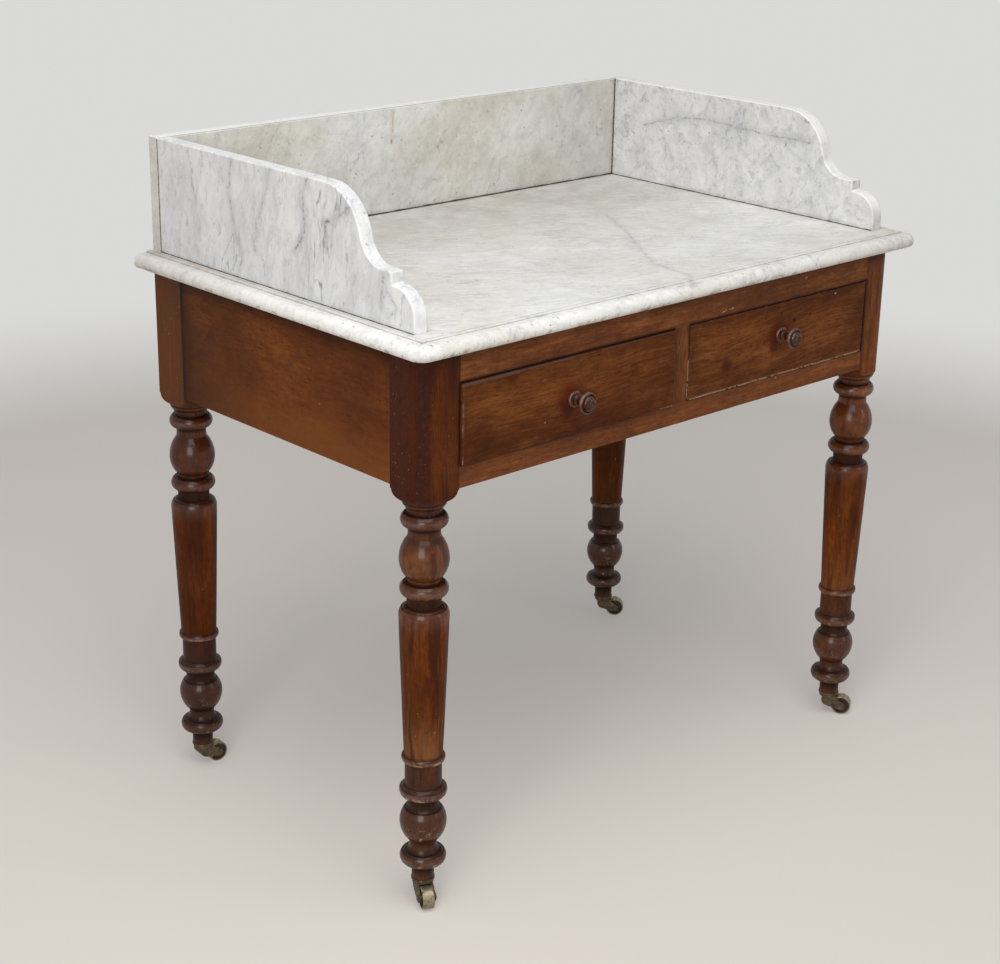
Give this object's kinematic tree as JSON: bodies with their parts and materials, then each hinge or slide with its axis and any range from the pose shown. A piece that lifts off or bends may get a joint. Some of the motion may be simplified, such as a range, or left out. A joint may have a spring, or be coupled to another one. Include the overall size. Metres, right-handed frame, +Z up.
{
  "type": "washstand",
  "caption": "Washstand with a marble top and raised marble splashbacks, side-by-side drawers with turned knobs, and turned legs on swivelling brass casters.",
  "frame": {"origin": "on the floor, under the middle of the whole outline, knobs and slab nose included", "axes": "+Z up, +X along the width to the right as seen from the front, +Y from the drawers to the back"},
  "size_m": [0.923, 0.588, 0.9],
  "materials": {
    "marble": "polished, worn",
    "mahogany": "waxed, satin",
    "inner_wood": "bare, matte",
    "brass": "aged, dull"
  },
  "bodies": {
    "stand": {"top_slab": "marble", "back_splash": "marble", "left_splash": "marble", "right_splash": "marble", "leg_front_left": "mahogany", "leg_front_right": "mahogany", "leg_back_left": "mahogany", "leg_back_right": "mahogany", "side_apron_left": "mahogany", "side_apron_right": "mahogany", "back_apron": "mahogany", "top_rail": "mahogany", "bottom_rail": "mahogany", "drawer_divider": "mahogany", "runner_left": "inner_wood", "runner_mid": "inner_wood", "runner_right": "inner_wood", "guide_left": "inner_wood", "guide_mid": "inner_wood", "guide_right": "inner_wood", "kicker_left": "inner_wood", "kicker_mid": "inner_wood", "kicker_right": "inner_wood", "drawer_stops": "inner_wood", "caster_plate_front_left": "brass", "caster_plate_front_right": "brass", "caster_plate_back_left": "brass", "caster_plate_back_right": "brass"},
    "left_drawer": {"left_drawer_front": "mahogany", "left_drawer_side_left": "inner_wood", "left_drawer_side_right": "inner_wood", "left_drawer_back": "inner_wood", "left_drawer_bottom": "inner_wood", "left_drawer_knob": "mahogany"},
    "right_drawer": {"right_drawer_front": "mahogany", "right_drawer_side_left": "inner_wood", "right_drawer_side_right": "inner_wood", "right_drawer_back": "inner_wood", "right_drawer_bottom": "inner_wood", "right_drawer_knob": "mahogany"},
    "caster_front_left": {"caster_horn_front_left": "brass", "caster_axle_front_left": "brass"},
    "wheel_front_left": {"caster_wheel_front_left": "brass"},
    "caster_front_right": {"caster_horn_front_right": "brass", "caster_axle_front_right": "brass"},
    "wheel_front_right": {"caster_wheel_front_right": "brass"},
    "caster_back_left": {"caster_horn_back_left": "brass", "caster_axle_back_left": "brass"},
    "wheel_back_left": {"caster_wheel_back_left": "brass"},
    "caster_back_right": {"caster_horn_back_right": "brass", "caster_axle_back_right": "brass"},
    "wheel_back_right": {"caster_wheel_back_right": "brass"}
  },
  "joints": [
    {"name": "left_drawer_slide", "type": "slide", "parent": "stand", "child": "left_drawer", "axis": [0, -1, 0], "range_m": [-0.004, 0.3]},
    {"name": "right_drawer_slide", "type": "slide", "parent": "stand", "child": "right_drawer", "axis": [0, -1, 0], "range_m": [0, 0.3]},
    {"name": "caster_front_left_swivel", "type": "hinge", "parent": "stand", "child": "caster_front_left", "pos_m": [-0.408, -0.229, 0.0289], "axis": [0, 0, 1], "continuous": true},
    {"name": "wheel_front_left_spin", "type": "hinge", "parent": "caster_front_left", "child": "wheel_front_left", "pos_m": [-0.41708, -0.24682, 0.0145], "axis": [0.891, -0.454, 0], "continuous": true},
    {"name": "caster_front_right_swivel", "type": "hinge", "parent": "stand", "child": "caster_front_right", "pos_m": [0.408, -0.229, 0.0289], "axis": [0, 0, 1], "continuous": true},
    {"name": "wheel_front_right_spin", "type": "hinge", "parent": "caster_front_right", "child": "wheel_front_right", "pos_m": [0.41918, -0.24558, 0.0145], "axis": [0.829, 0.5592, 0], "continuous": true},
    {"name": "caster_back_left_swivel", "type": "hinge", "parent": "stand", "child": "caster_back_left", "pos_m": [-0.408, 0.255, 0.0289], "axis": [0, 0, 1], "continuous": true},
    {"name": "wheel_back_left_spin", "type": "hinge", "parent": "caster_back_left", "child": "wheel_back_left", "pos_m": [-0.38811, 0.25291, 0.0145], "axis": [0.1045, 0.9945, 0], "continuous": true},
    {"name": "caster_back_right_swivel", "type": "hinge", "parent": "stand", "child": "caster_back_right", "pos_m": [0.408, 0.255, 0.0289], "axis": [0, 0, 1], "continuous": true},
    {"name": "wheel_back_right_spin", "type": "hinge", "parent": "caster_back_right", "child": "wheel_back_right", "pos_m": [0.42239, 0.24111, 0.0145], "axis": [0.6947, 0.7193, 0], "continuous": true}
  ]
}
